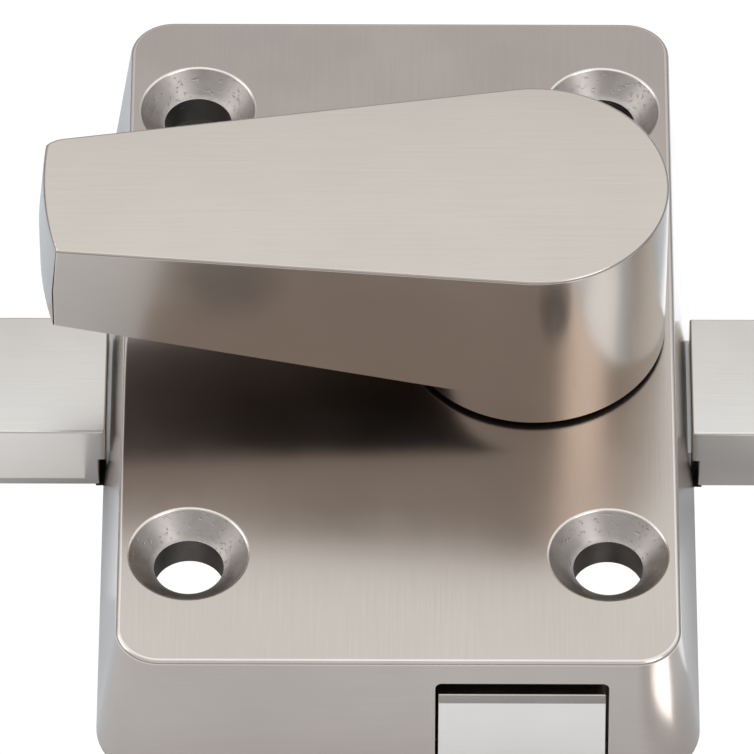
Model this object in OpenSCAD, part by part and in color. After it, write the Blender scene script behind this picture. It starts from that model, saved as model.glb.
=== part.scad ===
// Surface mounted three way door latch. A turn lever on the case drives two bars outwards,
// one through each side wall, and a bolt out through the front wall.
// Frame: X along the bars, Y away from the bolt, Z out of the door, Z = 0 on the door face.
// The origin lies under the middle of the case. All sizes are millimetres and degrees.

/* [Case] */
// Width of the case at the door face, along the bars
case_wid = 54.6; // [54:0.2:70]
// Length of the case at the door face, along the bolt
case_len = 83; // [82:0.5:110]
// Height of the case above the door
case_h = 14; // [14:0.5:20]
// How far each outer wall leans in between the door face and the top
case_lean = 2; // [0.5:0.25:3]
// Corner radius of the case at the door face
corner_r = 6; // [5:0.5:9]
// Thickness of the side walls where they meet the top wall
wall_t = 1.6; // [1.2:0.1:1.9]
// Thickness of the top wall
top_t = 2.5; // [2:0.1:2.6]
// Size of the broken edge round the top face
edge_break = 0.35; // [0.2:0.05:0.8]
// How far the spindle, bar and fixing line lies behind the middle of the case
line_y = 0.7; // [0:0.1:2]

/* [Fixing holes] */
// Spacing of the fixing holes along the bars
hole_dx = 37.8; // [37:0.2:50]
// Spacing of the fixing holes along the bolt
hole_dy = 54.9; // [54:0.2:70]
// Diameter of a fixing hole
hole_d = 6.3; // [4:0.1:6.4]
// Diameter of a countersink at the top face
sink_d = 10.84; // [9:0.1:11]
// Metal left round a fixing hole, top face to pad
pad_h = 4.7; // [4:0.1:4.8]
// Wall of the pad round a fixing hole
pad_wall = 1.5; // [1:0.1:2]

/* [Lever] */
// Distance of the spindle from the middle of the case, along the bars
axis_x = 12.3; // [11.5:0.1:12.4]
// Radius of the lever hub
hub_r = 12.1; // [11:0.1:14]
// Height of the lever, hub underside to top face
lever_h = 18.9; // [16:0.1:24]
// Gap between the hub and the case
hub_gap = 0.5; // [0.4:0.1:1.2]
// Length of the lever from the spindle to the tip, at the top face
lever_len = 44.5; // [35:0.5:60]
// Half the width of the arm at the tip
tip_half = 6.8; // [5:0.1:8]
// Radius of the end of the arm, seen from above
tip_r = 34; // [20:1:60]
// How far the end of the arm swells out below the top face
tip_swell = 1; // [0.4:0.1:2]
// Thickness of the arm at the tip
tip_t = 9.7; // [6:0.1:12]
// Rise of the underside of the arm, towards the tip
arm_rise = 8.1; // [4:0.1:9]
// Turn of the lever past the line of the bars, at rest
rest_turn = 1.9; // [0:0.1:5]

/* [Drive] */
// Tooth module of the pinion and racks
gear_m = 0.8; // [0.75:0.05:0.8]
// Teeth on the pinion
teeth = 13; // [12:1:13]
// Pressure angle of the teeth
press_angle = 25; // [22:1:25]
// Play between meshing teeth
tooth_play = 0.12; // [0.08:0.02:0.2]
// Turn of the lever between open and locked
lever_turn = 90; // [60:5:90]
// Depth of a rack behind its pitch line
rack_back = 3.2; // [2.8:0.1:3.4]

/* [Bars] */
// Width of a bar
bar_w = 14.3; // [14:0.1:20]
// Height of a bar
bar_h = 7.3; // [6.8:0.1:8]
// Length of a bar outside the case
bar_len = 98; // [40:1:300]
// Gap between the bars and the door
bar_lift = 0.14; // [0.1:0.02:0.4]
// Gap between a bar and the widest part of the wall at its end
bar_end_gap = 0.15; // [0.1:0.05:0.5]
// Height of the step in the end of a bar
step_h = 3.4; // [2:0.1:4]
// Depth of the step in the end of a bar
step_d = 0.65; // [0.5:0.05:1]
// Broken edge along a bar
bar_break = 0.25; // [0.1:0.05:0.5]
// Width of the bevel at the corners of the outer end of a bar
end_bevel = 1.6; // [0.6:0.2:4]
// Width of the tail that joins a rack to its bar
tail_w = 9; // [8:0.5:10]
// Length of that tail
tail_len = 16; // [14:1:24]

/* [Bolt] */
// Middle of the bolt from the middle of the case
bolt_x = 11.1; // [11:0.1:11.3]
// Width of the bolt
bolt_w = 15.05; // [14.6:0.05:15.2]
// Height of the bolt nose
bolt_h = 8; // [7:0.1:8.2]
// Bevel on the top edge of the nose
bolt_bevel = 0.8; // [0.4:0.1:1.2]
// Slope of the face of the nose
nose_slope = 12; // [8:1:14]
// Gap at each side of the bolt in its mouth
mouth_gap = 0.26; // [0.15:0.01:0.4]
// Corner radius of the mouth
mouth_r = 0.6; // [0.3:0.1:1]

/* [Small parts] */
// Thickness of the back plate
plate_t = 1.5; // [1.2:0.1:1.6]
// Thickness of the guide plate between the racks
guide_t = 0.8; // [0.6:0.1:0.9]
// Height of the gap between sliding faces
slide_gap = 0.1; // [0.05:0.01:0.12]
// Diameter of the spindle in its bush
journal_d = 9; // [8:0.1:10]
// Outer diameter of the bush
bush_d = 13; // [12:0.1:14]
// Across the flats of the spindle square
square_w = 8; // [6:0.1:8]
// Depth of the square socket in the lever
socket_h = 6.5; // [5:0.1:8]
// Height of one disc spring
spring_h = 0.6; // [0.5:0.02:0.64]
// Thread diameter of the small screws
screw_d = 3; // [2.5:0.1:3]
// Diameter of the dowel pins behind the racks
pin_d = 3; // [2:0.1:3]

/* [Hidden] */
$fn = 64;

// Small running and seating clearances, and how far a cut runs past a face
run_gap = 0.04;
seat_gap = 0.02;
over = 1;

// Heights of the layers inside the case. The racks share what the other layers leave.
ceiling = case_h - top_t;
flange_t = 0.8;
flange_z = ceiling - flange_t;
washer_t = 0.5;
collar_t = 0.22;
collar_top = flange_z - 2 * spring_h - washer_t - 4 * seat_gap;
rack_t = (collar_top - collar_t - plate_t - guide_t - 4 * slide_gap) / 2;
low_z = plate_t + slide_gap;
guide_z = low_z + rack_t + slide_gap;
high_z = guide_z + guide_t + slide_gap;
pinion_top = high_z + rack_t + slide_gap;
pad_z = case_h - pad_h;
hub_z = case_h + hub_gap;

// Outer wall position at a height above the door
lean = case_lean / case_h;
function side_x(z) = case_wid / 2 - lean * z;
function front_y(z) = case_len / 2 - lean * z;

// Half the size of the cavity, which has upright walls
inner_x = side_x(ceiling) - wall_t;
inner_y = front_y(ceiling) - wall_t;
inner_r = 3;

// Tooth proportions
pitch_r = gear_m * teeth / 2;
pitch = PI * gear_m;
tip_rad = pitch_r + gear_m;
root_rad = pitch_r - 1.25 * gear_m;
base_rad = pitch_r * cos(press_angle);
travel = pitch_r * lever_turn * PI / 180;
rack_edge = pitch_r + rack_back;
gear_clear = 0.25;
neck_r = root_rad - 0.1;

// Underside of the spindle, underside of the dowel pins and their distance from its axis
foot_z = 0.3;
pin_z = 0.1;
pin_far = rack_edge + pin_d / 2 + 0.05;
// How deep the thread in the lever runs past the socket
lever_thread = 8;

// Racks, measured from the spindle along the way they move
stop_gap = 0.3;
slot_half = bar_w / 2 - 0.1;
tongue_half = slot_half - 0.1;
bar_end_x = side_x(step_h + bar_lift) + bar_end_gap;
mesh_len = 3.2;
rack_tail_len = travel + mesh_len - 0.15;
shoulder_t = 1.4;
rack_front = 16;

// Joint between a bar and its rack
tail_gap = 0.1;
tail_screws = [4, tail_len - 4];
bar_skin = 1;

// Bolt
bolt_z = low_z;
bolt_left = bolt_x - bolt_w / 2;
hole_y = hole_dy / 2;
hole_x = hole_dx / 2;
pad_r = hole_d / 2 + pad_wall;
head_rear = hole_y + pad_r + 0.4;
stem_right = hole_x - hole_d / 2 - 0.35;
stem_room = 0.5;
stem_top = pad_z - 0.3;
stem_rear = rack_edge + pin_d + 0.8;
nose_top = bolt_z + bolt_h;

// Ribs that guide the stem
rib_t = 1.6;
rib_gap = 0.2;
rib_front = stem_rear + 0.8;

// Plate screws: four round the spindle, then one towards each end
boss_d = 5.6;
boss_x = [-11, 20.4];
boss_y = rack_edge + 4;
end_boss = [-8, inner_y - line_y - boss_d / 2 - 0.75];

// Round parts on the spindle
collar_d = journal_d + 3.4;
spring_d = journal_d + 4.4;
flange_d = bush_d + 3;

sink_t = 1.45;
plate_half_y = boss_y + boss_d / 2 + 0.4;
plate_tongue = [end_boss[0] - boss_d / 2 - 2.2, hole_x - pad_r + 0.35];
plate_gap = 0.25;

// A block whose four walls lean in by inset between z0 and z1, with rounded corners
module drafted_block(hx, hy, r, z0, z1, inset) {
  for (sx = [-1, 1], sy = [-1, 1])
    translate([sx * (hx - r), sy * (hy - r), z0])
      cylinder(h = z1 - z0, r1 = r, r2 = r - inset);
  rotate([90, 0, 0])
    linear_extrude(2 * (hy - r), center = true)
      polygon([[-hx, z0], [hx, z0], [hx - inset, z1], [inset - hx, z1]]);
  rotate([90, 0, 90])
    linear_extrude(2 * (hx - r), center = true)
      polygon([[-hy, z0], [hy, z0], [hy - inset, z1], [inset - hy, z1]]);
}

// A block with upright walls and rounded corners
module rounded_block(hx, hy, r, z0, z1) {
  translate([r - hx, -hy, z0]) cube([2 * (hx - r), 2 * hy, z1 - z0]);
  translate([-hx, r - hy, z0]) cube([2 * hx, 2 * (hy - r), z1 - z0]);
  for (sx = [-1, 1], sy = [-1, 1])
    translate([sx * (hx - r), sy * (hy - r), z0]) cylinder(h = z1 - z0, r = r);
}

// Places its children at the four fixing holes
module at_holes() {
  for (sx = [-1, 1], sy = [-1, 1])
    translate([sx * hole_x, line_y + sy * hole_y, 0]) children();
}

// Places its children at the four plate screws round the spindle
module at_middle_bosses() {
  for (x = boss_x, sy = [-1, 1])
    translate([x, line_y + sy * boss_y, 0]) children();
}

// Places its children at the two plate screws towards the ends of the case
module at_end_bosses() {
  for (sy = [-1, 1])
    translate([end_boss[0], line_y + sy * end_boss[1], 0]) children();
}

module at_spindle() {
  translate([axis_x, line_y, 0]) children();
}

// Hole for a countersunk screw whose head is flush with the face at z = 0
module sink_cut(d, through) {
  slope = d / 2 / sink_t;
  translate([0, 0, -over]) cylinder(h = through + 2 * over, d = d);
  translate([0, 0, -over])
    cylinder(h = over + sink_t, r1 = d + over * slope, r2 = d / 2);
}

// Countersunk screw with a hexagon socket that fits sink_cut, head down
module sink_screw(d, len) {
  difference() {
    union() {
      cylinder(h = sink_t - seat_gap, r1 = d - seat_gap, r2 = d / 2);
      cylinder(h = len, d = d);
    }
    translate([0, 0, -over]) cylinder(h = over + 0.4 * d, d = 0.75 * d, $fn = 6);
  }
}

// Window for the bolt, seen from the front: square bottom, rounded top corners
module mouth_cut() {
  left = bolt_left - mouth_gap;
  wid = bolt_w + 2 * mouth_gap;
  deep = case_len / 2 - inner_y + 2 * over;
  translate([left, -case_len / 2 - over, bolt_z - slide_gap]) {
    cube([wid, deep, ceiling - bolt_z + slide_gap - mouth_r]);
    translate([mouth_r, 0, 0]) cube([wid - 2 * mouth_r, deep, ceiling - bolt_z + slide_gap]);
    for (x = [mouth_r, wid - mouth_r])
      translate([x, 0, ceiling - bolt_z + slide_gap - mouth_r])
        rotate([-90, 0, 0]) cylinder(h = deep, r = mouth_r);
  }
}

module housing() {
  top_z = case_h - edge_break;
  top_lean = lean * top_z;
  color("#b9b3ab")
  difference() {
    union() {
      difference() {
        union() {
          drafted_block(case_wid / 2, case_len / 2, corner_r, 0, top_z, top_lean);
          drafted_block(side_x(top_z), front_y(top_z), corner_r - top_lean, top_z, case_h,
                        edge_break);
        }
        rounded_block(inner_x, inner_y, inner_r, -over, ceiling);
      }
      at_holes() translate([0, 0, pad_z]) cylinder(h = pad_h - over, r = pad_r);
      at_middle_bosses()
        translate([0, 0, high_z]) cylinder(h = ceiling - high_z + over, d = boss_d);
      at_end_bosses()
        translate([0, 0, low_z]) cylinder(h = ceiling - low_z + over, d = boss_d);
      stem_rib(bolt_left - mouth_gap - rib_t, head_rear - 2.5);
      stem_rib(stem_right + rib_gap, hole_y - pad_r - 2.8);
    }
    at_holes() {
      translate([0, 0, -over]) cylinder(h = case_h + 2 * over, d = hole_d);
      sink_h = (sink_d - hole_d) / 2;
      translate([0, 0, case_h - sink_h])
        cylinder(h = sink_h + over, r1 = hole_d / 2, r2 = sink_d / 2 + over);
    }
    at_spindle() cylinder(h = case_h + over, d = bush_d);
    tapped_depth = ceiling - low_z + over;
    at_middle_bosses() translate([0, 0, low_z - over])
      cylinder(h = tapped_depth, d = screw_d + run_gap);
    at_end_bosses() translate([0, 0, low_z - over])
      cylinder(h = tapped_depth, d = screw_d + run_gap);
    // Windows for the two bars
    for (s = [0, 1])
      mirror([s, 0, 0])
        translate([inner_x - over, line_y - slot_half, low_z - slide_gap])
          cube([case_wid / 2 - inner_x + 2 * over, 2 * slot_half, rack_t + 2 * slide_gap]);
    mouth_cut();
  }
}

// Rib under the top wall, beside the stem of the bolt
module stem_rib(x, rear) {
  translate([x, line_y - rear, high_z])
    cube([rib_t, rear - rib_front, ceiling - high_z + over]);
}

module back_plate() {
  hx = inner_x - plate_gap;
  hy = inner_y - plate_gap;
  color("#a9a49c")
  difference() {
    union() {
      translate([-hx, line_y - plate_half_y, 0]) cube([2 * hx, 2 * plate_half_y, plate_t]);
      translate([plate_tongue[0], -hy, 0])
        cube([plate_tongue[1] - plate_tongue[0], 2 * hy, plate_t]);
    }
    at_middle_bosses() sink_cut(screw_d + run_gap, plate_t);
    at_end_bosses() sink_cut(screw_d + run_gap, plate_t);
    at_spindle() {
      translate([0, 0, -over]) cylinder(h = plate_t + 2 * over, r = neck_r + run_gap);
      pin_holes(plate_t + over);
    }
  }
}

// Holes for the three dowel pins behind the racks
module pin_holes(top) {
  for (a = [90, -90, 180])
    rotate(a) translate([pin_far, 0, -over]) cylinder(h = top + over, d = pin_d + run_gap);
}

module guide_plate() {
  wid = boss_x[1] - boss_x[0] + boss_d;
  color("#9c978f")
  difference() {
    translate([boss_x[0] - boss_d / 2, line_y - plate_half_y, guide_z])
      cube([wid, 2 * plate_half_y, guide_t]);
    at_middle_bosses() translate([0, 0, guide_z - over])
      cylinder(h = guide_t + 2 * over, d = screw_d + 4 * run_gap);
    at_spindle() {
      translate([0, 0, guide_z - over])
        cylinder(h = guide_t + 2 * over, r = tip_rad + gear_clear);
      pin_holes(guide_z + guide_t + over);
    }
    // Room for the stem of the bolt
    translate([bolt_left - stem_room, line_y - plate_half_y - over, guide_z - over])
      cube([stem_right - bolt_left + 2 * stem_room, over + plate_half_y - stem_rear + stem_room,
            guide_t + 2 * over]);
  }
}

module plate_spacers() {
  color("#c2bdb5")
  at_middle_bosses()
    translate([0, 0, plate_t])
      difference() {
        cylinder(h = guide_z - plate_t, d = boss_d);
        translate([0, 0, -over])
          cylinder(h = guide_z - plate_t + 2 * over, d = screw_d + 4 * run_gap);
      }
}

module plate_screws() {
  color("#8f8a83") {
    at_middle_bosses() sink_screw(screw_d, ceiling - over);
    at_end_bosses() sink_screw(screw_d, ceiling - over);
  }
}

module rack_guide_pins() {
  color("#8f8a83")
  at_spindle() {
    for (a = [90, -90])
      rotate(a) translate([pin_far, 0, pin_z])
        cylinder(h = guide_z + guide_t - pin_z, d = pin_d);
    rotate(180) translate([pin_far, 0, pin_z]) cylinder(h = high_z + rack_t - pin_z, d = pin_d);
  }
}

module spindle_bush() {
  color("#b08a4a")
  at_spindle()
    difference() {
      union() {
        translate([0, 0, flange_z]) cylinder(h = flange_t - seat_gap, d = flange_d);
        translate([0, 0, flange_z]) cylinder(h = case_h - flange_z, d = bush_d - run_gap);
      }
      translate([0, 0, flange_z - over])
        cylinder(h = case_h - flange_z + 2 * over, d = journal_d + 2 * run_gap);
    }
}

module hub_washer() {
  color("#2c2a28")
  at_spindle()
    difference() {
      translate([0, 0, case_h + seat_gap]) cylinder(h = hub_gap - 2 * seat_gap, r = hub_r - 2);
      cylinder(h = hub_z + over, d = journal_d + 4 * run_gap);
    }
}

// One coned disc spring standing on z = 0, wide end down or up
module disc_spring(up) {
  t = 0.3;
  r1 = journal_d / 2 + 0.15;
  r2 = spring_d / 2;
  h = spring_h - t;
  rotate_extrude()
    polygon(up ? [[r1, h], [r2, 0], [r2, t], [r1, h + t]] : [[r1, 0], [r2, h], [r2, h + t], [r1, t]]);
}

module disc_springs() {
  z0 = collar_top + washer_t + 2 * seat_gap;
  color("#77716a")
  at_spindle() {
    translate([0, 0, z0]) disc_spring(true);
    translate([0, 0, z0 + spring_h + seat_gap]) disc_spring(false);
  }
}

module thrust_washer() {
  color("#8f8a83")
  at_spindle()
    translate([0, 0, collar_top + seat_gap])
      difference() {
        cylinder(h = washer_t, d = spring_d);
        translate([0, 0, -over]) cylinder(h = washer_t + 2 * over, d = journal_d + 4 * run_gap);
      }
}

// Involute pinion outline, tooth 0 centred on +X
function inv(a) = tan(a) * 180 / PI - a;
flank_steps = 5;
half_tooth = 90 / teeth + inv(press_angle);
function flank(r) = half_tooth - inv(acos(min(1, base_rad / r)));
function flank_point(k, i, side) =
  let (
    r = base_rad + (tip_rad - base_rad) * i / flank_steps,
    a = k * 360 / teeth + side * flank(r)
  )
  [r * cos(a), r * sin(a)];
function root_point(k, side) =
  let (a = k * 360 / teeth + side * flank(base_rad))
  [root_rad * cos(a), root_rad * sin(a)];

module pinion_outline() {
  polygon([
    for (k = [0 : teeth - 1])
      each concat(
        [root_point(k, -1)],
        [for (i = [0 : flank_steps]) flank_point(k, i, -1)],
        [for (i = [0 : flank_steps]) flank_point(k, flank_steps - i, 1)],
        [root_point(k, 1)]
      )
  ]);
}

module pinion_spindle() {
  square_top = hub_z + socket_h - 0.3;
  color("#a39d95")
  at_spindle()
    difference() {
      union() {
        translate([0, 0, foot_z]) cylinder(h = low_z, r = neck_r);
        translate([0, 0, low_z])
          linear_extrude(pinion_top + seat_gap - low_z) pinion_outline();
        translate([0, 0, pinion_top])
          cylinder(h = collar_top - pinion_top, d = collar_d);
        translate([0, 0, pinion_top])
          cylinder(h = hub_z - seat_gap - pinion_top, d = journal_d);
        rotate(rest_turn)
          intersection() {
            translate([-square_w / 2, -square_w / 2, hub_z - over])
              cube([square_w, square_w, square_top - hub_z + over]);
            translate([0, 0, hub_z - over]) cylinder(h = socket_h + over, d = journal_d - 0.2);
          }
      }
      translate([0, 0, foot_z]) sink_cut(screw_d + 4 * run_gap, hub_z + socket_h);
    }
}

// The lever in its own frame, arm towards -X, spindle on the origin
module lever_body() {
  arm_angle = asin((hub_r - tip_half) / lever_len);
  far = lever_len + tip_swell + 2;
  under = lever_h - tip_t - (lever_len + tip_swell) * tan(arm_rise);
  swell_z = lever_h - 0.55 * tip_t;
  // Flat sides from where they touch the hub to past the tip
  root = [-hub_r * sin(arm_angle), hub_r * cos(arm_angle)];
  end = root - far * [cos(arm_angle), sin(arm_angle)];
  cylinder(h = lever_h, r = hub_r);
  intersection() {
    linear_extrude(lever_h) polygon([root, end, [end[0], -end[1]], [root[0], -root[1]]]);
    // Side view of the arm
    rotate([90, 0, 0])
      linear_extrude(4 * hub_r, center = true)
        polygon([[0, under], [0, lever_h], [-far, lever_h], [-far, under + far * tan(arm_rise)]]);
    // The crowned end
    translate([tip_r - lever_len, 0, 0]) {
      cylinder(h = swell_z, r = tip_r + tip_swell);
      translate([0, 0, swell_z])
        cylinder(h = lever_h - swell_z, r1 = tip_r + tip_swell, r2 = tip_r);
    }
  }
}

module lever() {
  color("#c4bdb5")
  at_spindle()
    translate([0, 0, hub_z])
      rotate(rest_turn)
        difference() {
          lever_body();
          intersection() {
            translate([-square_w / 2 - run_gap, -square_w / 2 - run_gap, -over])
              cube([square_w + 2 * run_gap, square_w + 2 * run_gap, socket_h + over]);
            translate([0, 0, -over])
              cylinder(h = socket_h + over, d = journal_d + 2 * run_gap);
          }
          cylinder(h = socket_h + lever_thread, d = screw_d + run_gap);
        }
}

module lever_screw() {
  color("#8f8a83")
  at_spindle()
    translate([0, 0, foot_z])
      sink_screw(screw_d, hub_z + socket_h + lever_thread - over - foot_z);
}

// Toothed strip: pitch line at x = pitch_r, teeth towards the pinion, moving along +Y.
// way is the direction of the rack from the spindle, which sets the phase of its teeth.
module toothed_strip(way, y0, y1) {
  step = 360 / teeth;
  phase = (ceil(way / step) * step - way) * PI / 180 * pitch_r;
  half = pitch / 4 - tooth_play / 2;
  tall = gear_m * tan(press_angle);
  deep = 1.25 * gear_m * tan(press_angle);
  first = ceil((y0 + pitch / 2 - phase) / pitch - 0.5);
  last = floor((y1 - pitch / 2 - phase) / pitch - 0.5);
  root = pitch_r + 1.25 * gear_m;
  polygon(concat(
    [[rack_edge, y0], [root, y0]],
    [for (k = [first : last])
      let (c = phase + (k + 0.5) * pitch)
      each [[root, c - half - deep], [pitch_r - gear_m, c - half + tall],
            [pitch_r - gear_m, c + half - tall], [root, c + half + deep]]],
    [[root, y1 + over / 2], [rack_edge, y1 + over / 2]]
  ));
}

// A flat plate of rack thickness, from one corner of its plan to the other
module slide_plate(x0, y0, x1, y1) {
  translate([x0, y0, 0]) cube([x1 - x0, y1 - y0, rack_t]);
}

// Clearance for the pinion in a slide that passes it
module pinion_clearance() {
  translate([0, 0, -over]) cylinder(h = rack_t + 2 * over, r = tip_rad + gear_clear);
}

// A rack for one bar, moving along +Y. reach is how far the end of its bar lies from the
// spindle. The shoulder stops against the inside of the wall when the bar is out.
module bar_slide(way, reach) {
  shoulder = reach - (bar_end_x - inner_x) - stop_gap - travel;
  teeth_end = min(shoulder - shoulder_t, rack_front);
  horn = max(shoulder, tip_rad + gear_clear);
  // The other rack's teeth end here, and the tongue widens behind them
  wide = max(horn, rack_tail_len + stop_gap);
  narrow_half = pitch_r - gear_m - stop_gap;
  linear_extrude(rack_t) toothed_strip(way, -rack_tail_len, teeth_end);
  difference() {
    union() {
      slide_plate(pitch_r - gear_m, teeth_end, rack_edge, shoulder);
      if (shoulder - teeth_end > 2 * shoulder_t)
        slide_plate(-rack_edge, teeth_end, rack_edge, shoulder);
      slide_plate(0, teeth_end, tongue_half, reach);
      slide_plate(-narrow_half, horn, over, reach);
      slide_plate(-tongue_half, wide, over, reach);
      slide_plate(-tail_w / 2, reach - over, tail_w / 2, reach + tail_len);
    }
    pinion_clearance();
  }
}

// A bar's rack in place, with two countersunk holes from below in its tail
module bar_rack(way, side) {
  reach = bar_end_x - side * axis_x - seat_gap;
  at_spindle() rotate(way) translate([0, 0, low_z])
    difference() {
      bar_slide(way, reach);
      for (y = tail_screws)
        translate([0, reach + y, 0]) sink_cut(screw_d + 2 * run_gap, rack_t);
    }
}

// A bar to the right of the case, with a pocket for the tail of its rack
module bar_body() {
  b = bar_break;
  translate([0, line_y, 0])
    difference() {
      translate([bar_end_x, 0, bar_lift])
        rotate([90, 0, 90])
          linear_extrude(bar_len)
            polygon([[-bar_w / 2 + b, 0], [bar_w / 2 - b, 0], [bar_w / 2, b],
                     [bar_w / 2, bar_h - b], [bar_w / 2 - b, bar_h], [-bar_w / 2 + b, bar_h],
                     [-bar_w / 2, bar_h - b], [-bar_w / 2, b]]);
      translate([bar_end_x - over, -bar_w, -over])
        cube([step_d + over, 2 * bar_w, step_h + bar_lift + over]);
      translate([bar_end_x - over, -tail_w / 2 - tail_gap, -over])
        cube([tail_len + tail_gap + over, tail_w + 2 * tail_gap, low_z + rack_t + seat_gap + over]);
      for (x = tail_screws)
        translate([bar_end_x - seat_gap + x, 0, low_z])
          cylinder(h = bar_h + bar_lift - bar_skin - low_z, d = screw_d + run_gap);
      // Bevel round the outer end
      for (s = [-1, 1])
        translate([bar_end_x + bar_len, s * bar_w / 2, 0])
          rotate(45) cube([end_bevel, end_bevel, 3 * bar_h], center = true);
    }
}

module bar_screw_pair() {
  translate([bar_end_x - seat_gap, line_y, low_z + seat_gap])
    for (x = tail_screws)
      translate([x, 0, 0]) sink_screw(screw_d, bar_h + bar_lift - bar_skin - 0.3 - low_z);
}

module left_bar() {
  color("#bdb7af") mirror([1, 0, 0]) bar_body();
}

module right_bar() {
  color("#bdb7af") bar_body();
}

module left_rack() {
  color("#948e86") bar_rack(90, -1);
}

module right_rack() {
  color("#948e86") bar_rack(-90, 1);
}

module left_bar_screws() {
  color("#8f8a83") mirror([1, 0, 0]) bar_screw_pair();
}

module right_bar_screws() {
  color("#8f8a83") bar_screw_pair();
}

// Where the strip of the bolt rack lies on the stem, and the rivets through both
strip_right = axis_x - pitch_r + gear_m;
strip_end = mesh_len + 0.6;
lap_len = 14;
rivet_d = 2.2;
rivet_x = axis_x - rack_edge + 2;
rivet_y = [stem_rear + lap_len / 4, stem_rear + 10];
rivet_z = bolt_z + 0.1;

module bolt() {
  // The nose stands a little behind the front wall, as the mouth shows
  face_z = nose_top - bolt_bevel;
  face_y = front_y(face_z) - 0.3;
  foot_y = face_y + (face_z - bolt_z) * tan(nose_slope);
  bevel_y = face_y - 0.55 * bolt_bevel;
  color("#cfcac3")
  difference() {
    union() {
      // Nose, seen from the side
      translate([bolt_left, 0, 0])
        rotate([90, 0, 90])
          linear_extrude(bolt_w)
            polygon([[-foot_y, bolt_z], [-face_y, face_z], [-bevel_y, nose_top],
                     [line_y - head_rear, nose_top], [line_y - head_rear, bolt_z]]);
      // Stem, narrowed to pass the fixing screw
      translate([bolt_left, line_y - head_rear - 1, bolt_z])
        cube([stem_right - bolt_left, head_rear + 1 - stem_rear, stem_top - bolt_z]);
    }
    // Seat of the rack
    translate([bolt_left - over, line_y - stem_rear - lap_len - seat_gap, high_z])
      cube([strip_right - bolt_left + over + 0.1, lap_len + 2 * over, case_h]);
    for (y = rivet_y)
      translate([rivet_x, line_y - y, bolt_z - over]) cylinder(h = case_h, d = rivet_d + run_gap);
  }
}

module bolt_rack() {
  color("#948e86")
  difference() {
    at_spindle() rotate(180) translate([0, 0, high_z]) {
      linear_extrude(rack_t) toothed_strip(180, -rack_tail_len, strip_end);
      difference() {
        slide_plate(pitch_r - gear_m, strip_end, rack_edge, stem_rear + lap_len);
        pinion_clearance();
      }
    }
    for (y = rivet_y)
      translate([rivet_x, line_y - y, bolt_z - over]) cylinder(h = case_h, d = rivet_d + run_gap);
  }
}

module bolt_rivets() {
  color("#a9a49c")
  for (y = rivet_y)
    translate([rivet_x, line_y - y, rivet_z])
      cylinder(h = high_z + rack_t - rivet_z, d = rivet_d);
}

housing();
back_plate();
guide_plate();
plate_spacers();
plate_screws();
rack_guide_pins();
spindle_bush();
hub_washer();
disc_springs();
thrust_washer();
pinion_spindle();
lever();
lever_screw();
left_bar();
left_rack();
left_bar_screws();
right_bar();
right_rack();
right_bar_screws();
bolt();
bolt_rack();
bolt_rivets();
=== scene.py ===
import math

import bpy
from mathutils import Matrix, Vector


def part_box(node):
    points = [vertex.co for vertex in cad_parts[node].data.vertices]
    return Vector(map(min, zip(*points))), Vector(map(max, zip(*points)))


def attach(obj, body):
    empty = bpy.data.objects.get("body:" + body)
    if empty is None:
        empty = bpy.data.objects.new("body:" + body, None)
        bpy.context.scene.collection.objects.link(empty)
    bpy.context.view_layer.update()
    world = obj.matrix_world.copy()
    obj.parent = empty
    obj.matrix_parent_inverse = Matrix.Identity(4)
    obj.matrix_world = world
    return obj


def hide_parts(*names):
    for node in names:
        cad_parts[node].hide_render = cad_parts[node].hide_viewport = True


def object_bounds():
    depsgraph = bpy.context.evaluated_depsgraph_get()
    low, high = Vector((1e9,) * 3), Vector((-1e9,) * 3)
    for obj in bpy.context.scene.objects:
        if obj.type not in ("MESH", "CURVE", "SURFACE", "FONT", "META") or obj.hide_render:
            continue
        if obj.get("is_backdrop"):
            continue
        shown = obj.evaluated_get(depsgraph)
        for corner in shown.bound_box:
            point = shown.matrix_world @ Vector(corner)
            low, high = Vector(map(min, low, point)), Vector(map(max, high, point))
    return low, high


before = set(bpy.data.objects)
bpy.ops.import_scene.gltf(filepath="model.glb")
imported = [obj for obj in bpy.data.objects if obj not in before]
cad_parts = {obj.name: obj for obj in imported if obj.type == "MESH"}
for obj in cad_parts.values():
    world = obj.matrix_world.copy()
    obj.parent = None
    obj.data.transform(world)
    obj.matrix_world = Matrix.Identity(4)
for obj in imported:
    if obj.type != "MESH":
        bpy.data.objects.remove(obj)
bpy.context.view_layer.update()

# The case. One investment cast and machined piece of stainless steel: four leaning walls and a
# top wall with countersunk fixing holes. Its faces are brushed along the case before the edges
# are broken, and the sinks keep a finer, pitted finish.
MM = 0.001
case_low, case_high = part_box("housing")
bolt_low, bolt_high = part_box("bolt")
axis = (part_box("lever_screw")[0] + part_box("lever_screw")[1]) / 2
line_y = axis.y
case_top = case_high.z
case_lean = 2 * MM
base_corner = 6 * MM
top_wall = 2.5 * MM
ceiling = case_top - top_wall
side_wall = 1.6 * MM
rim_break = 0.4 * MM
cavity_x = case_high.x - case_lean * ceiling / case_top - side_wall
cavity_y = case_high.y - case_lean * ceiling / case_top - side_wall
cavity_corner = 3 * MM
hole_x = 18.9 * MM
hole_y = 27.45 * MM
hole_r = 3.15 * MM
sink_r = 5.42 * MM
pad_r = 4.65 * MM
pad_low = case_top - 4.7 * MM
fixing_holes = [(x, line_y + y) for x in (-hole_x, hole_x) for y in (-hole_y, hole_y)]
bush_r = 6.5 * MM
boss_r = 2.8 * MM
boss_bore = 1.52 * MM
middle_bosses = [(x * MM, line_y + y * MM) for x in (-11, 20.4) for y in (-12.4, 12.4)]
end_bosses = [(-8 * MM, line_y + y * MM) for y in (-34, 34)]
high_level = 5.6 * MM
window_low, window_high = 1.5 * MM, 4.7 * MM
window_half = 7.05 * MM
mouth_gap = 0.26 * MM
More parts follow.
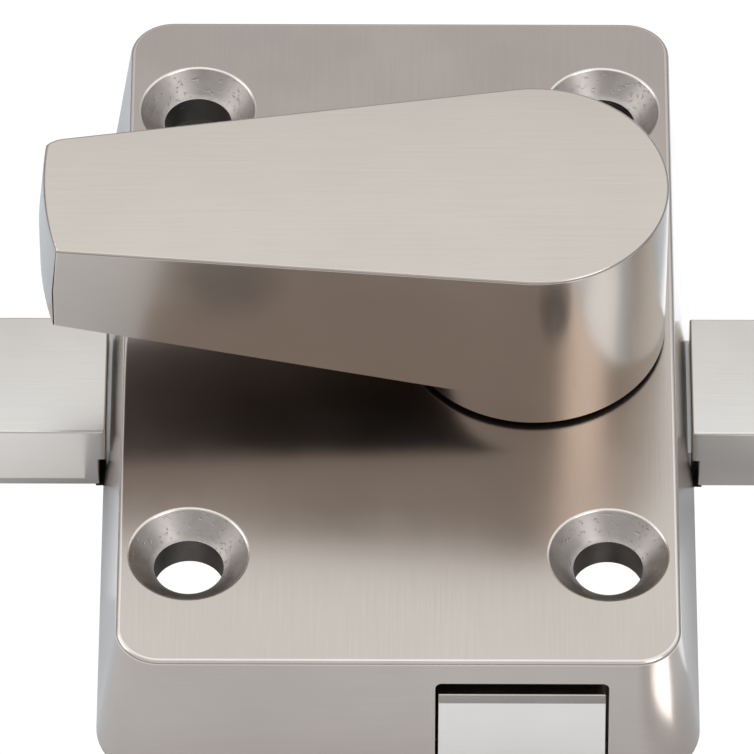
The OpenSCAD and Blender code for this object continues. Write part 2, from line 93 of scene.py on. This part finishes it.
mouth_corner = 0.6 * MM
spare = 1 * MM


def clear_selection():
    if bpy.context.mode != "OBJECT":
        bpy.ops.object.mode_set(mode="OBJECT")
    bpy.ops.object.select_all(action="DESELECT")


def work_on(piece):
    clear_selection()
    piece.select_set(True)
    bpy.context.view_layer.objects.active = piece


def settle(piece, name):
    """Names a new piece and moves its place, turn and scale into its mesh."""
    piece.name = name
    work_on(piece)
    bpy.ops.object.transform_apply(location=True, rotation=True, scale=True)
    return piece


def add_block(name, low, high):
    """A block from its lowest corner to its highest."""
    clear_selection()
    low, high = Vector(low), Vector(high)
    bpy.ops.mesh.primitive_cube_add(size=1, location=(low + high) / 2, scale=high - low)
    return settle(bpy.context.object, name)


def add_round(name, place, low_z, high_z, radius, top_radius=None, sides=96):
    """A round bar or cone that stands at a place, given as x and y."""
    clear_selection()
    bpy.ops.mesh.primitive_cone_add(
        vertices=sides, radius1=radius, radius2=radius if top_radius is None else top_radius,
        depth=high_z - low_z, location=(place[0], place[1], (low_z + high_z) / 2))
    return settle(bpy.context.object, name)


def choose(piece, kind, test):
    """Goes into edit mode with the faces or edges selected whose middle and direction pass."""
    work_on(piece)
    bpy.ops.object.mode_set(mode="EDIT")
    bpy.ops.mesh.select_mode(type=kind)
    bpy.ops.mesh.select_all(action="DESELECT")
    bpy.ops.object.mode_set(mode="OBJECT")
    points = piece.data.vertices
    if kind == "FACE":
        for face in piece.data.polygons:
            face.select = test(face.center, face.normal)
    else:
        for edge in piece.data.edges:
            a, b = (points[v].co for v in edge.vertices)
            edge.select = test((a + b) / 2, (b - a).normalized())
    bpy.ops.object.mode_set(mode="EDIT")


def bevel_edges(piece, width, segments, test):
    """Rounds the edges whose middle and direction pass."""
    choose(piece, "EDGE", test)
    bpy.ops.mesh.bevel(offset=width, segments=segments, affect="EDGES")
    bpy.ops.object.mode_set(mode="OBJECT")


def apply_modifier(piece, modifier):
    work_on(piece)
    bpy.ops.object.modifier_apply(modifier=modifier.name)


def combine(piece, operation, tools):
    """Cuts other solids from a piece, joins them to it or keeps what they share."""
    for tool in tools:
        boolean = piece.modifiers.new("combine", "BOOLEAN")
        boolean.operation = operation
        boolean.solver = "EXACT"
        boolean.object = tool
        apply_modifier(piece, boolean)
        bpy.data.objects.remove(tool)


def tidy_mesh(piece, within=0.002 * MM):
    """Merges doubled points and turns every face outwards."""
    work_on(piece)
    bpy.ops.object.mode_set(mode="EDIT")
    bpy.ops.mesh.select_all(action="SELECT")
    bpy.ops.mesh.remove_doubles(threshold=within)
    bpy.ops.mesh.normals_make_consistent(inside=False)
    bpy.ops.object.mode_set(mode="OBJECT")


def shade_flats(piece):
    """Shades rounded edges smooth and flat faces flat."""
    work_on(piece)
    bpy.ops.object.shade_smooth_by_angle(angle=math.radians(40))
    weighted = piece.modifiers.new("flats", "WEIGHTED_NORMAL")
    weighted.keep_sharp = True
    apply_modifier(piece, weighted)


def break_edges(piece, width):
    """Rounds each sharp edge of a piece."""
    bevel = piece.modifiers.new("edges", "BEVEL")
    bevel.width = width
    bevel.segments = 3
    bevel.limit_method = "ANGLE"
    bevel.angle_limit = math.radians(28)
    apply_modifier(piece, bevel)
    shade_flats(piece)


# A rounded outline, drawn in and up to the top in one inset, makes the leaning walls
clear_selection()
bpy.ops.mesh.primitive_plane_add(size=1)
case = bpy.context.object
case.scale = (2 * case_high.x, 2 * case_high.y, 1)
settle(case, "case_shell")
choose(case, "FACE", lambda middle, normal: True)
bpy.ops.mesh.bevel(offset=base_corner, segments=14, affect="VERTICES")
bpy.ops.mesh.inset(thickness=case_lean, depth=case_top)
bpy.ops.mesh.select_all(action="DESELECT")
bpy.ops.mesh.select_mode(type="EDGE")
bpy.ops.mesh.select_non_manifold()
bpy.ops.mesh.edge_face_add()
bpy.ops.object.mode_set(mode="OBJECT")
tidy_mesh(case)
bevel_edges(case, rim_break, 4, lambda middle, way: middle.z > case_top - 0.1 * MM)

cavity = add_block("cavity", (-cavity_x, -cavity_y, -spare), (cavity_x, cavity_y, ceiling))
bevel_edges(cavity, cavity_corner, 8, lambda middle, way: abs(way.z) > 0.9)
combine(case, "DIFFERENCE", [cavity])

# Pads round the fixing holes, bosses for the plate screws and two ribs beside the bolt's stem
pads = [add_round("pad", p, pad_low, case_top - spare, pad_r, sides=64) for p in fixing_holes]
bosses = [add_round("boss", p, high_level, ceiling + spare, boss_r, sides=48)
          for p in middle_bosses]
bosses += [add_round("boss", p, window_low + 0.1 * MM, ceiling + spare, boss_r, sides=48)
           for p in end_bosses]
rib_wid = 1.6 * MM
rib_end = line_y - 13 * MM
ribs = [add_block("rib", (left, line_y - length, high_level),
                  (left + rib_wid, rib_end, ceiling + spare))
        for left, length in ((bolt_low.x - mouth_gap - rib_wid, 30 * MM), (15.6 * MM, 20 * MM))]
combine(case, "UNION", pads + bosses + ribs)

# Bores, sinks, the bush seat, the windows for the bars and the mouth for the bolt
ring_r = 3.73 * MM
ring_tall = 0.2 * MM
sink_break = 0.16 * MM
edge_break = 0.12 * MM
sink_low = case_top - (sink_r - ring_r)
cuts = [add_round("bore", p, -spare, case_top + spare, hole_r) for p in fixing_holes]
for place in fixing_holes:
    sink = add_round("sink", place, sink_low - ring_tall, sink_low, hole_r, ring_r)
    choose(sink, "FACE", lambda middle, normal: normal.z > 0.9)
    bpy.ops.mesh.extrude_region_move(
        TRANSFORM_OT_translate={"value": (0, 0, sink_r + spare - ring_r)})
    bpy.ops.transform.resize(value=((sink_r + spare) / ring_r,) * 2 + (1,))
    bpy.ops.object.mode_set(mode="OBJECT")
    cuts.append(sink)
cuts.append(add_round("bush_seat", axis, -spare, case_top + spare, bush_r))
cuts += [add_round("tapped_hole", p, 0, ceiling, boss_bore, sides=32)
         for p in middle_bosses + end_bosses]
for side in (-1, 1):
    ends = sorted((side * (cavity_x - spare), side * (case_high.x + spare)))
    cuts.append(add_block("window", (ends[0], line_y - window_half, window_low),
                          (ends[1], line_y + window_half, window_high)))
mouth = add_block("mouth", (bolt_low.x - mouth_gap, case_low.y - spare, window_low),
                  (bolt_high.x + mouth_gap, spare - cavity_y, ceiling))
bevel_edges(mouth, mouth_corner, 6,
            lambda middle, way: abs(way.y) > 0.9 and middle.z > ceiling - spare)
combine(case, "DIFFERENCE", cuts + [mouth])
tidy_mesh(case)


def hole_distance(place):
    """How far a place lies from the axis of the nearest fixing hole."""
    return min((Vector(hole) - place.xy).length for hole in fixing_holes)


bevel_edges(case, sink_break, 3, lambda middle, way: middle.z > case_top - 0.01 * MM
            and hole_distance(middle) < sink_r + 0.01 * MM)
break_edges(case, edge_break)


def new_group(name, inputs, outputs):
    """An empty shader node group with named sockets, its way in and its way out."""
    group = bpy.data.node_groups.new(name, "ShaderNodeTree")
    for socket, kind in inputs:
        group.interface.new_socket(socket, in_out="INPUT", socket_type="NodeSocket" + kind)
    for socket, kind in outputs:
        group.interface.new_socket(socket, in_out="OUTPUT", socket_type="NodeSocket" + kind)
    return group, group.nodes.new("NodeGroupInput"), group.nodes.new("NodeGroupOutput")


def add_noise(tree, vector, scale, detail, roughness=0.55):
    noise = tree.nodes.new("ShaderNodeTexNoise")
    noise.inputs["Scale"].default_value = scale
    noise.inputs["Detail"].default_value = detail
    noise.inputs["Roughness"].default_value = roughness
    tree.links.new(vector, noise.inputs["Vector"])
    return noise


def add_range(tree, value, from_low, from_high, to_low, to_high):
    mapped = tree.nodes.new("ShaderNodeMapRange")
    for socket, number in zip(("From Min", "From Max", "To Min", "To Max"),
                              (from_low, from_high, to_low, to_high)):
        mapped.inputs[socket].default_value = number
    tree.links.new(value, mapped.inputs["Value"])
    return mapped


def add_colour(tree, factor, dark, light):
    mixed = tree.nodes.new("ShaderNodeMix")
    mixed.data_type = "RGBA"
    mixed.inputs["A"].default_value = (*dark, 1)
    mixed.inputs["B"].default_value = (*light, 1)
    tree.links.new(factor, mixed.inputs["Factor"])
    return mixed


def new_material(name):
    """A new material, its node tree and its shader."""
    made = bpy.data.materials.new(name)
    made.use_nodes = True
    return made, made.node_tree, made.node_tree.nodes["Principled BSDF"]


# Brushing: fine lines that run one way, with broad soft patches where the belt pressed harder
brushing, way_in, way_out = new_group(
    "brushing", [("Place", "Vector"), ("Stretch", "Vector")],
    [("Lines", "Float"), ("Patches", "Float")])
stretch = brushing.nodes.new("ShaderNodeVectorMath")
stretch.operation = "MULTIPLY"
brushing.links.new(way_in.outputs["Place"], stretch.inputs[0])
brushing.links.new(way_in.outputs["Stretch"], stretch.inputs[1])
fine = add_noise(brushing, stretch.outputs["Vector"], 1, 4, 0.65)
broad = add_noise(brushing, way_in.outputs["Place"], 90, 2)
brushing.links.new(fine.outputs["Fac"], way_out.inputs["Lines"])
brushing.links.new(broad.outputs["Fac"], way_out.inputs["Patches"])


def brushed_steel(name, dark, light, along, rough):
    """Brushed stainless steel. along is the axis of the brushing, 0 to 2 for X to Z."""
    made, tree, shader = new_material(name)
    shader.inputs["Metallic"].default_value = 1
    place = tree.nodes.new("ShaderNodeTexCoord")
    lines = tree.nodes.new("ShaderNodeGroup")
    lines.node_tree = brushing
    across_scale, along_scale = 5200, 110
    line_depth = 0.004 * MM
    lines.inputs["Stretch"].default_value = [
        along_scale if i == along else across_scale for i in range(3)]
    tree.links.new(place.outputs["Object"], lines.inputs["Place"])
    tone = tree.nodes.new("ShaderNodeMath")
    tone.operation = "MULTIPLY_ADD"
    tone.inputs[1].default_value = 0.6
    tree.links.new(lines.outputs["Lines"], tone.inputs[0])
    patch = add_range(tree, lines.outputs["Patches"], 0.3, 0.7, 0, 0.4)
    tree.links.new(patch.outputs["Result"], tone.inputs[2])
    colour = add_colour(tree, tone.outputs["Value"], dark, light)
    tree.links.new(colour.outputs["Result"], shader.inputs["Base Color"])
    gloss = add_range(tree, lines.outputs["Patches"], 0.3, 0.7, rough - 0.03, rough + 0.03)
    tree.links.new(gloss.outputs["Result"], shader.inputs["Roughness"])
    relief = tree.nodes.new("ShaderNodeBump")
    relief.inputs["Distance"].default_value = line_depth
    relief.inputs["Strength"].default_value = 0.5
    tree.links.new(lines.outputs["Lines"], relief.inputs["Height"])
    tree.links.new(relief.outputs["Normal"], shader.inputs["Normal"])
    return made


case.data.materials.append(
    brushed_steel("brushed_case", (0.385, 0.325, 0.282), (0.465, 0.393, 0.342), 1, 0.24))


def pitted_steel():
    """The sinks: turned once and then left, with a mottled tone, specks and small pits."""
    made, tree, shader = new_material("pitted_steel")
    shader.inputs["Metallic"].default_value = 1
    place = tree.nodes.new("ShaderNodeTexCoord")
    mottle = add_noise(tree, place.outputs["Object"], 700, 3)
    colour = add_colour(tree, mottle.outputs["Fac"], (0.27, 0.235, 0.21), (0.40, 0.355, 0.32))
    tree.links.new(colour.outputs["Result"], shader.inputs["Base Color"])
    gloss = add_range(tree, mottle.outputs["Fac"], 0.3, 0.7, 0.34, 0.44)
    tree.links.new(gloss.outputs["Result"], shader.inputs["Roughness"])
    specks = add_noise(tree, place.outputs["Object"], 2600, 2)
    pits = add_range(tree, specks.outputs["Fac"], 0.62, 0.70, 1, 0)
    relief = tree.nodes.new("ShaderNodeBump")
    relief.inputs["Distance"].default_value = 0.03 * MM
    relief.inputs["Strength"].default_value = 0.8
    tree.links.new(pits.outputs["Result"], relief.inputs["Height"])
    tree.links.new(relief.outputs["Normal"], shader.inputs["Normal"])
    return made


case.data.materials.append(pitted_steel())
# The ends keep the case steel, brushed along X; the rims get a lighter steel that is a painted
# highlight
for name, dark, light, rough in (
        ("brushed_ends", (0.385, 0.325, 0.282), (0.465, 0.393, 0.342), 0.24),
        ("painted_highlight_edge", (0.52, 0.45, 0.395), (0.60, 0.52, 0.46), 0.2)):
    case.data.materials.append(brushed_steel(name, dark, light, 0, rough))

# Rims coloured lighter as a painted highlight, pitted sinks and ends that are brushed the other
# way
rim_steepest, rim_flattest = 0.3, 0.985
for face in case.data.polygons:
    middle, normal = face.center, face.normal
    if middle.z > case_top - rim_break and rim_steepest < normal.z < rim_flattest:
        face.material_index = 3
    elif hole_distance(middle) < sink_r + 0.1 * MM and middle.z < case_top - edge_break:
        face.material_index = 1
    elif abs(normal.y) > 0.9:
        face.material_index = 2
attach(case, "case")
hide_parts("housing")


# The drive inside the case. A turned spindle with a milled pinion runs in a flanged bronze bush
# and drives three stamped racks, held down by disc springs and guided by plates and pins.
def dress(node, finish):
    """Gives a CAD node one finish all over."""
    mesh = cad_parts[node].data
    mesh.materials.clear()
    mesh.materials.append(finish)


bronze = brushed_steel("turned_bronze", (0.50, 0.33, 0.14), (0.66, 0.46, 0.22), 2, 0.28)
plain_steel = brushed_steel("rolled_steel", (0.36, 0.35, 0.33), (0.50, 0.48, 0.46), 0, 0.34)
screw_steel = brushed_steel("turned_steel", (0.40, 0.39, 0.37), (0.55, 0.53, 0.51), 2, 0.26)
for node in ("back_plate", "guide_plate", "plate_spacers", "left_rack", "right_rack",
             "bolt_rack", "bolt_rivets", "pinion_spindle"):
    dress(node, plain_steel)
for node in ("plate_screws", "rack_guide_pins", "disc_springs", "thrust_washer", "lever_screw",
             "left_bar_screws", "right_bar_screws"):
    dress(node, screw_steel)
dress("spindle_bush", bronze)


# The washer under the hub. A thin ring that keeps the lever off the case, coloured near black as
# painted shade, so that it shows as the dark shadow line round the foot of the hub.
def painted_shade_black():
    made, tree, shader = new_material("painted_shade_black")
    place = tree.nodes.new("ShaderNodeTexCoord")
    grain = add_noise(tree, place.outputs["Object"], 4000, 2)
    colour = add_colour(tree, grain.outputs["Fac"], (0.008, 0.007, 0.006), (0.02, 0.018, 0.016))
    tree.links.new(colour.outputs["Result"], shader.inputs["Base Color"])
    gloss = add_range(tree, grain.outputs["Fac"], 0.3, 0.7, 0.5, 0.62)
    tree.links.new(gloss.outputs["Result"], shader.inputs["Roughness"])
    return made


dress("hub_washer", painted_shade_black())


# The turn lever. Hub and arm are machined from one piece of stainless steel: flat top, flat
# sides that run smoothly into the hub, an underside that rises to the tip and a crowned end.
# It is brushed along the arm, and a screw from below pulls it on to the spindle's square.
lever_low, lever_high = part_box("lever")
hub_r = 12.1 * MM
lever_tall = lever_high.z - lever_low.z
lever_len = 44.5 * MM
tip_half = 6.8 * MM
tip_r = 34 * MM
tip_swell = 0.5 * MM
tip_skew = 1.7 * MM
tip_tall = 9.7 * MM
arm_rise = math.radians(8.1)
rest_turn = math.radians(1.9)
square_half = 4.04 * MM
socket_tall = 6.5 * MM
arm_angle = math.asin((hub_r - tip_half) / lever_len)
hub_sides = 128
root_x = -hub_r * math.sin(arm_angle)
root_y = hub_r * math.cos(arm_angle)
arm_far = lever_len + tip_swell + 0.05 * MM
rear_round = 2.4 * MM
lever_break = 0.3 * MM
hub_break = 0.1 * MM
thread_r = 1.52 * MM
thread_tall = 8 * MM

# The arm starts as a block as wide as the hub and is drawn in to the tip
arm = add_block("arm", (-arm_far, -root_y, 0), (root_x, root_y, lever_tall))
far_y = root_y - (arm_far + root_x) * math.tan(arm_angle)
choose(arm, "FACE", lambda middle, normal: normal.x < -0.9)
bpy.ops.transform.resize(value=(1, far_y / root_y, 1))
under_root = lever_tall - tip_tall - (lever_len + tip_swell) * math.tan(arm_rise)
choose(arm, "EDGE", lambda middle, way: middle.z < MM and abs(way.y) > 0.9
       and middle.x < -lever_len)
bpy.ops.transform.translate(value=(0, 0, under_root + arm_far * math.tan(arm_rise)))
choose(arm, "EDGE", lambda middle, way: middle.z < MM and abs(way.y) > 0.9
       and middle.x > -lever_len)
bpy.ops.transform.translate(value=(0, 0, under_root - root_x * math.tan(arm_rise)))
bevel_edges(arm, rear_round, 6, lambda middle, way: middle.x < -lever_len and abs(way.z) > 0.9
            and middle.y > 0)

# The crown: a barrel, widest a little below the top and set a little askew
swell_z = lever_tall - 0.55 * tip_tall
barrel = add_round("barrel", (tip_r - lever_len, tip_skew), -spare, swell_z,
                   tip_r + tip_swell, sides=360)
choose(barrel, "FACE", lambda middle, normal: normal.z > 0.9)
bpy.ops.mesh.extrude_region_move(TRANSFORM_OT_translate={"value": (0, 0, lever_tall - swell_z)})
bpy.ops.transform.resize(value=(tip_r / (tip_r + tip_swell),) * 2 + (1,))
bpy.ops.mesh.extrude_region_move(TRANSFORM_OT_translate={"value": (0, 0, spare)})
bpy.ops.object.mode_set(mode="OBJECT")
combine(arm, "INTERSECT", [barrel])

clear_selection()
bpy.ops.mesh.primitive_cylinder_add(
    vertices=hub_sides, radius=hub_r, depth=lever_tall, location=(0, 0, lever_tall / 2),
    rotation=(0, 0, arm_angle))
lever = settle(bpy.context.object, "turn_lever")
combine(lever, "UNION", [arm])
socket = add_block("socket", (-square_half, -square_half, -spare),
                   (square_half, square_half, socket_tall))
thread = add_round("thread", (0, 0), 0, socket_tall + thread_tall, thread_r, sides=32)
combine(lever, "DIFFERENCE", [socket, thread])
tidy_mesh(lever, 0.1 * MM)
work_on(lever)
bpy.ops.object.mode_set(mode="EDIT")
bpy.ops.mesh.select_all(action="SELECT")
bpy.ops.mesh.dissolve_limited(angle_limit=math.radians(0.3))
bpy.ops.object.mode_set(mode="OBJECT")
bevel_edges(lever, lever_break, 3, lambda middle, way: middle.z > lever_tall - 0.01 * MM
            or (abs(way.z) > 0.9 and middle.y < -0.8 * tip_half and middle.x < -0.9 * lever_len))
bevel_edges(lever, hub_break, 2,
            lambda middle, way: middle.z < 0.01 * MM and middle.length > hub_r - spare)
shade_flats(lever)
lever.rotation_euler.z = rest_turn
lever.location = (axis.x, axis.y, lever_low.z)
settle(lever, "turn_lever")
# The faces under the arm get a near black steel: painted shade under the arm, which the top of
# the case mirrors as a dark band
for name, dark, light, rough in (
        ("brushed_lever", (0.40, 0.34, 0.292), (0.48, 0.408, 0.35), 0.22),
        ("painted_shade_underside", (0.09, 0.075, 0.065), (0.13, 0.11, 0.095), 0.4)):
    lever.data.materials.append(brushed_steel(name, dark, light, 0, rough))
for face in lever.data.polygons:
    if face.normal.z < -0.8 and face.center.z > lever_low.z + spare:
        face.material_index = 1
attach(lever, "turn_lever")
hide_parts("lever")


# The bars. Two lengths of drawn flat bar, one at each side, brushed along their length. The
# end next to the case has a step below, and a pocket under it takes the tail of the rack.
step_tall = 3.4 * MM
step_deep = 0.65 * MM
end_bevel = 1.13 * MM
pocket_half = 4.6 * MM
pocket_len = 16.1 * MM
pocket_top = 4.62 * MM
bar_break = 0.22 * MM
bar_finish = brushed_steel("brushed_bar", (0.53, 0.477, 0.433), (0.61, 0.55, 0.50), 0, 0.22)


def make_bar(name, node, body, side):
    """A bar to the right of the case for side 1, or to the left for side -1."""
    low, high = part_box(node)
    inner, outer = (low.x, high.x) if side > 0 else (high.x, low.x)
    ends = sorted((inner + side * step_deep, outer))
    bar = add_block(name, (ends[0], low.y, low.z), (ends[1], high.y, high.z))
    choose(bar, "FACE", lambda middle, normal: True)
    bpy.ops.mesh.bisect(plane_co=(0, 0, low.z + step_tall), plane_no=(0, 0, 1))
    choose(bar, "FACE", lambda middle, normal: normal.x * side < -0.9
           and middle.z > low.z + step_tall)
    bpy.ops.mesh.extrude_region_move(
        TRANSFORM_OT_translate={"value": (-side * step_deep, 0, 0)})
    bevel_edges(bar, end_bevel, 1, lambda middle, way: abs(way.z) > 0.9
                and abs(middle.x - outer) < 0.1 * MM)
    ends = sorted((inner - side * spare, inner + side * pocket_len))
    pocket = add_block("pocket", (ends[0], line_y - pocket_half, -spare),
                       (ends[1], line_y + pocket_half, pocket_top))
    combine(bar, "DIFFERENCE", [pocket])
    tidy_mesh(bar)
    break_edges(bar, bar_break)
    bar.data.materials.append(bar_finish)
    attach(bar, body)
    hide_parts(node)


make_bar("bar_left", "left_bar", "left_slide", -1)
make_bar("bar_right", "right_bar", "right_slide", 1)

# The bolt. Milled from flat bar and finer ground than the rest: a block nose with a bevelled top
# edge and a face that leans back, on a narrower stem that carries its rack.
nose_slope = math.radians(12)
nose_bevel = 0.8 * MM
nose_break = 0.1 * MM
rivet_r = 1.12 * MM
nose_rear = line_y - 32.5 * MM
stem_right = 15.4 * MM
stem_top = 9 * MM
stem_rear = line_y - 12.2 * MM
seat_right = 7.9 * MM
seat_front = stem_rear - 14.02 * MM
rivets = [(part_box("bolt_rivets")[0].x + 1.1 * MM, line_y - y * MM) for y in (15.7, 22.2)]
foot_y = bolt_low.y
face_top = bolt_high.z - nose_bevel
face_y = foot_y + (face_top - bolt_low.z) * math.tan(nose_slope)
bolt = add_block("latch_bolt", (bolt_low.x, foot_y, bolt_low.z),
                 (bolt_high.x, nose_rear, bolt_high.z))
choose(bolt, "FACE", lambda middle, normal: True)
bpy.ops.mesh.bisect(plane_co=(0, 0, face_top), plane_no=(0, 0, 1))
choose(bolt, "EDGE", lambda middle, way: abs(way.x) > 0.9 and middle.y < foot_y + 0.1 * MM
       and middle.z > bolt_low.z + spare)
bpy.ops.transform.translate(value=(0, face_y - foot_y, 0))
choose(bolt, "EDGE", lambda middle, way: abs(way.x) > 0.9 and middle.y < nose_rear - spare
       and middle.z > bolt_high.z - 0.1 * MM)
bpy.ops.transform.translate(value=(0, 0.55 * nose_bevel, 0))
bpy.ops.object.mode_set(mode="OBJECT")
stem = add_block("stem", (bolt_low.x, nose_rear - spare, bolt_low.z),
                 (stem_right, stem_rear, stem_top))
combine(bolt, "UNION", [stem])
seat = add_block("seat", (bolt_low.x - spare, seat_front, high_level),
                 (seat_right + 0.1 * MM, stem_rear + spare, case_top))
holes = [add_round("rivet_hole", p, 0, case_top, rivet_r, sides=32) for p in rivets]
combine(bolt, "DIFFERENCE", [seat] + holes)
tidy_mesh(bolt)
bevel_edges(bolt, nose_break, 3, lambda middle, way: middle.y < nose_rear - spare
            and middle.z > bolt_low.z + spare)
shade_flats(bolt)
bolt.data.materials.append(
    brushed_steel("ground_bolt", (0.62, 0.555, 0.50), (0.70, 0.63, 0.57), 0, 0.18))
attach(bolt, "bolt_slide")
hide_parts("bolt")


# The table, the lights and the camera. A white board, white to the lens, soft boxes behind, above
# and at both sides, small cards on the board, and a long lens that looks down from the front.
strip_x = 30 * MM
strip_half = 3 * MM
strip_fade = 4 * MM


def table_white():
    """White to the lens. To the metal it is a board with a darker strip of painted shade
    along the case's right wall, a painted glow on that strip behind the case and a faint
    painted glow over the front of the board."""
    made, tree, shader = new_material("table_white")
    shader.inputs["Roughness"].default_value = 0.9
    shader.inputs["Specular IOR Level"].default_value = 0
    shader.inputs["Emission Color"].default_value = (0.95, 1, 1.06, 1)
    place = tree.nodes.new("ShaderNodeTexCoord")
    split = tree.nodes.new("ShaderNodeSeparateXYZ")
    tree.links.new(place.outputs["Object"], split.inputs["Vector"])
    beside = tree.nodes.new("ShaderNodeMath")
    beside.operation = "SUBTRACT"
    beside.inputs[1].default_value = strip_x
    tree.links.new(split.outputs["X"], beside.inputs[0])
    apart = tree.nodes.new("ShaderNodeMath")
    apart.operation = "ABSOLUTE"
    tree.links.new(beside.outputs["Value"], apart.inputs[0])
    strip = add_range(tree, apart.outputs["Value"], strip_half, strip_half + strip_fade, 1, 0)
    colour = add_colour(tree, strip.outputs["Result"], (0.64, 0.67, 0.70), (0.47, 0.48, 0.49))
    tree.links.new(colour.outputs["Result"], shader.inputs["Base Color"])
    glow_back = add_range(tree, split.outputs["Y"], -9 * MM, 14 * MM, 0, 1.1)
    glow_front = add_range(tree, split.outputs["Y"], -38 * MM, -12 * MM, 0.26, 0.08)
    total = tree.nodes.new("ShaderNodeMath")
    total.operation = "MULTIPLY_ADD"
    tree.links.new(glow_back.outputs["Result"], total.inputs[0])
    tree.links.new(strip.outputs["Result"], total.inputs[1])
    tree.links.new(glow_front.outputs["Result"], total.inputs[2])
    tree.links.new(total.outputs["Value"], shader.inputs["Emission Strength"])
    glow = tree.nodes.new("ShaderNodeEmission")
    glow.inputs["Strength"].default_value = 1.05
    rays = tree.nodes.new("ShaderNodeLightPath")
    mixed = tree.nodes.new("ShaderNodeMixShader")
    tree.links.new(rays.outputs["Is Camera Ray"], mixed.inputs["Fac"])
    tree.links.new(shader.outputs["BSDF"], mixed.inputs[1])
    tree.links.new(glow.outputs["Emission"], mixed.inputs[2])
    tree.links.new(mixed.outputs["Shader"], tree.nodes["Material Output"].inputs["Surface"])
    return made


clear_selection()
bpy.ops.mesh.primitive_plane_add(size=4, location=(0, 0, -0.02 * MM))
table = bpy.context.object
table.name = "table"
table.data.materials.append(table_white())
table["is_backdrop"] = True

# The shade under the case, where the glowing table would shine through the gaps
shade_finish, _, shade_shader = new_material("shade")
shade_shader.inputs["Base Color"].default_value = (0.01, 0.009, 0.008, 1)
for low, high in (((-28, -6.4), (28, 7.4)), ((14, -41), (19.4, -29.5))):
    clear_selection()
    bpy.ops.mesh.primitive_plane_add(
        size=MM, location=((low[0] + high[0]) / 2 * MM, (low[1] + high[1]) / 2 * MM, -0.01 * MM))
    shade = bpy.context.object
    shade.scale = (high[0] - low[0], high[1] - low[1], 1)
    settle(shade, "shade")
    shade.data.materials.append(shade_finish)
    shade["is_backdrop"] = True


def add_soft_light(name, place, towards, size, radiance, colour=(1, 1, 1)):
    """A rectangular soft box. radiance is how bright it looks, with 1 for white."""
    data = bpy.data.lights.new(name, "AREA")
    data.shape = "RECTANGLE"
    data.size, data.size_y = size
    data.energy = radiance * math.pi * size[0] * size[1]
    data.color = colour
    light = bpy.data.objects.new(name, data)
    light.location = place
    light.rotation_mode = "QUATERNION"
    light.rotation_quaternion = (Vector(towards) - Vector(place)).to_track_quat("-Z", "Y")
    light.visible_camera = False
    bpy.context.scene.collection.objects.link(light)


# The case and the lever mirror the lower edge of the soft box: it lies over the lever's back edge
mirrored = Vector((0, 0.666, 0.746))
upward = Vector((0, -0.746, 0.666))
box_tall = 0.20
box_middle = 0.16 * mirrored + (0.006 + box_tall / 2) * upward
cool_white = (0.96, 1, 1.04)
add_soft_light("back_soft_light", box_middle, box_middle - mirrored, (0.40, box_tall), 0.62,
               (0.88, 1.03, 1.09))
add_soft_light("top_strip_light", (0, -0.03, 0.5), (0, 0, 0), (0.30, 0.11), 0.7, cool_white)
add_soft_light("left_soft_light", (-0.42, 0.08, 0.27), (0, 0, 0), (0.30, 0.30), 1.4, cool_white)
add_soft_light("right_soft_light", (0.285, -0.27, 0.448), (0, 0, 0), (0.26, 0.30), 2.5,
               cool_white)

# White cards on the table: for the front corner, the right of the hub and the left bar
for x, y, size, radiance in ((38, -47.5, (0.014, 0.012), 2.6), (40, -22, (0.018, 0.016), 0.7),
                             (-51, -13.5, (0.044, 0.014), 0.45)):
    add_soft_light("card", (x * MM, y * MM, MM), (x * MM, y * MM, 1), size, radiance, cool_white)

# The room: white above and dark near the horizon
world = bpy.data.worlds.new("studio")
world.use_nodes = True
room = world.node_tree
direction = room.nodes.new("ShaderNodeTexCoord")
split = room.nodes.new("ShaderNodeSeparateXYZ")
room.links.new(direction.outputs["Generated"], split.inputs["Vector"])
height = add_range(room, split.outputs["Z"], 0, 0.5, 0.15, 0.95)
room.links.new(height.outputs["Result"], room.nodes["Background"].inputs["Strength"])
room.nodes["Background"].inputs["Color"].default_value = (0.95, 1, 1.06, 1)
bpy.context.scene.world = world
bpy.context.scene.view_settings.view_transform = "Standard"

camera_azimuth = math.radians(0.20)
camera_elevation = math.radians(48.24)
camera_distance = 902.7 * MM
camera_target = Vector((-2.008, -5.386, 14)) * MM
focal_pixels = 9872
photo_pixels = 754
back = Vector((math.sin(camera_azimuth) * math.cos(camera_elevation),
               -math.cos(camera_azimuth) * math.cos(camera_elevation),
               math.sin(camera_elevation)))
camera_data = bpy.data.cameras.new("camera")
camera_data.sensor_width = 36
camera_data.lens = focal_pixels * camera_data.sensor_width / photo_pixels
camera = bpy.data.objects.new("camera", camera_data)
camera.location = camera_target + camera_distance * back
camera.rotation_mode = "QUATERNION"
camera.rotation_quaternion = (-back).to_track_quat("-Z", "Y")
bpy.context.scene.collection.objects.link(camera)
bpy.context.scene.camera = camera

clear_selection()
low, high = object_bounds()
